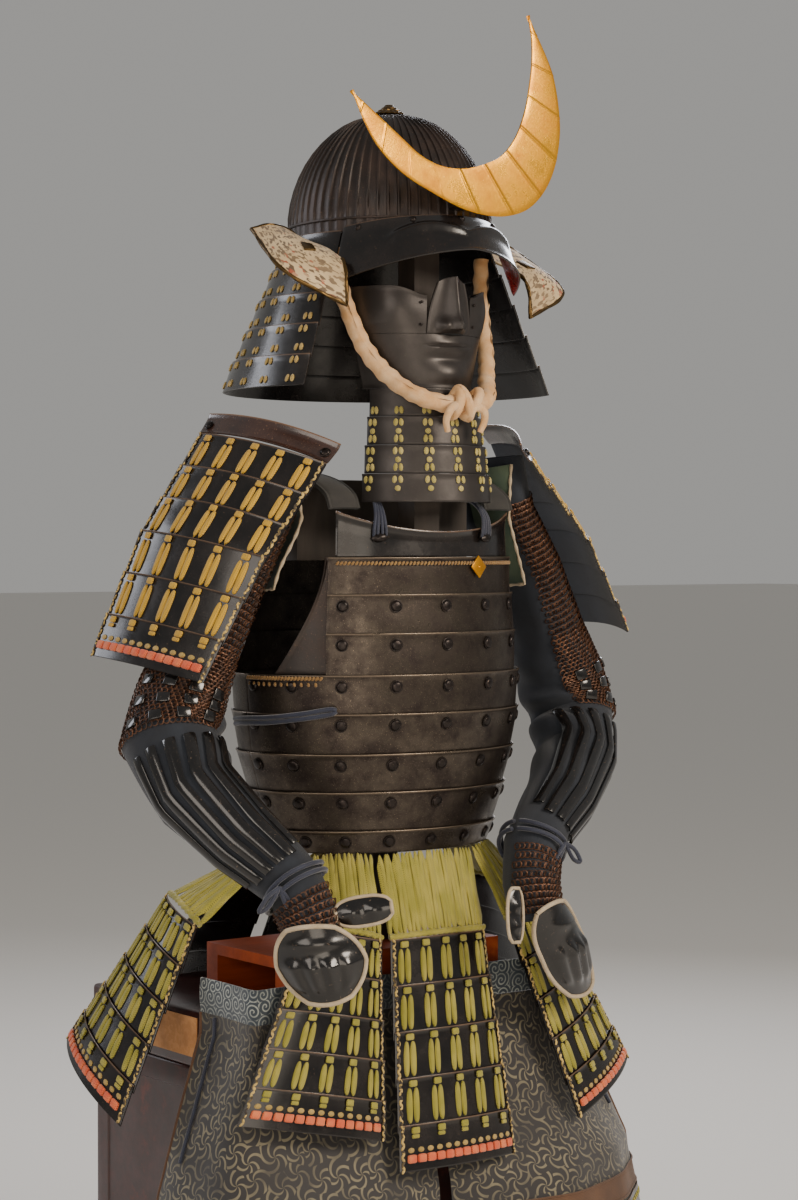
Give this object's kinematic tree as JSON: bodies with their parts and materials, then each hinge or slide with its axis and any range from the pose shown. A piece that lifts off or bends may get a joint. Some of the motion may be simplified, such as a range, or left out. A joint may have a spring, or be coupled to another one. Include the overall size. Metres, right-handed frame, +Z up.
{
  "type": "samurai armour on a chest and post stand",
  "caption": "Laced lamellar armour with crescent-crested helmet, face mask, riveted cuirass, sleeves and skirt, standing on a lacquered storage chest.",
  "frame": {"origin": "on the floor under the post, on the flat bottom of the chest", "axes": "+Z up, the armour faces -Y, its own left side is +X"},
  "size_m": [0.6967, 0.5578, 1.567],
  "materials": {
    "chest_lacquer": "dark red brown lacquer, worn at its edges",
    "aged_paper": "plain aged label paper",
    "riser_wood": "orange red stained wood",
    "stand_wood": "grey brown planed wood",
    "black_iron": "dark russet iron, satin",
    "russet_iron": "red brown rusted iron, waxed",
    "gilt": "gilt lacquer leaf",
    "black_lacquer": "black lacquer over iron and rawhide, glossy",
    "brown_lacquer": "brown lacquer over iron, glossy",
    "printed_leather": "tan printed leather",
    "strap_leather": "grey smoked leather",
    "padded_silk": "peach padded silk cord",
    "indigo_braid": "indigo flat braid",
    "yellow_lacing": "golden yellow silk lacing over black lacquered lames",
    "green_lacing": "yellow green silk lacing over black lacquered lames",
    "indigo_cloth": "indigo hemp cloth with brown iron mail",
    "brown_brocade": "dark brown brocade with silver gold flowers",
    "belt_brocade": "dark blue cloth with silver scrolls"
  },
  "bodies": {
    "root": {"back_half": "russet_iron", "chest_body": "chest_lacquer", "chest_lid": "chest_lacquer", "chin_cord": "padded_silk", "crest": "gilt", "crest_holder": "black_iron", "crown_fitting": "gilt", "forearm_guard_left": "black_lacquer", "forearm_guard_right": "black_lacquer", "front_lame_1": "russet_iron", "front_lame_2": "russet_iron", "front_lame_3": "russet_iron", "front_lame_4": "russet_iron", "front_lame_5": "russet_iron", "front_lame_6": "russet_iron", "front_lame_7": "russet_iron", "front_lame_8": "russet_iron", "guard_plate_left": "brown_lacquer", "guard_plate_right": "brown_lacquer", "hand_guard_left": "black_lacquer", "hand_guard_right": "black_lacquer", "head_block": "stand_wood", "helmet_bowl": "black_iron", "lid_label": "aged_paper", "lozenge": "gilt", "mask_cheek_left": "black_iron", "mask_cheek_right": "black_iron", "mask_face": "black_iron", "mask_nose": "black_iron", "neck_guard_1": "black_lacquer", "neck_guard_2": "black_lacquer", "neck_guard_3": "black_lacquer", "neck_guard_4": "black_lacquer", "neck_guard_5": "black_lacquer", "peak": "black_lacquer", "riser": "riser_wood", "shoulder_guard_left": "yellow_lacing", "shoulder_guard_right": "yellow_lacing", "shoulder_strap_left": "strap_leather", "shoulder_strap_right": "strap_leather", "side_tie": "indigo_braid", "sleeve_left": "indigo_cloth", "sleeve_right": "indigo_cloth", "stand_post": "stand_wood", "tasset_back_left": "green_lacing", "tasset_back_right": "green_lacing", "tasset_centre": "green_lacing", "tasset_front_left": "green_lacing", "tasset_front_right": "green_lacing", "tasset_side_left": "green_lacing", "tasset_side_right": "green_lacing", "thigh_belt": "belt_brocade", "thigh_guard_left": "brown_brocade", "thigh_guard_right": "brown_brocade", "throat_guard": "black_lacquer", "top_plate": "black_lacquer", "turnback_left": "printed_leather", "turnback_right": "printed_leather", "wrist_cord_left": "indigo_braid", "wrist_cord_right": "indigo_braid"}
  },
  "joints": []
}
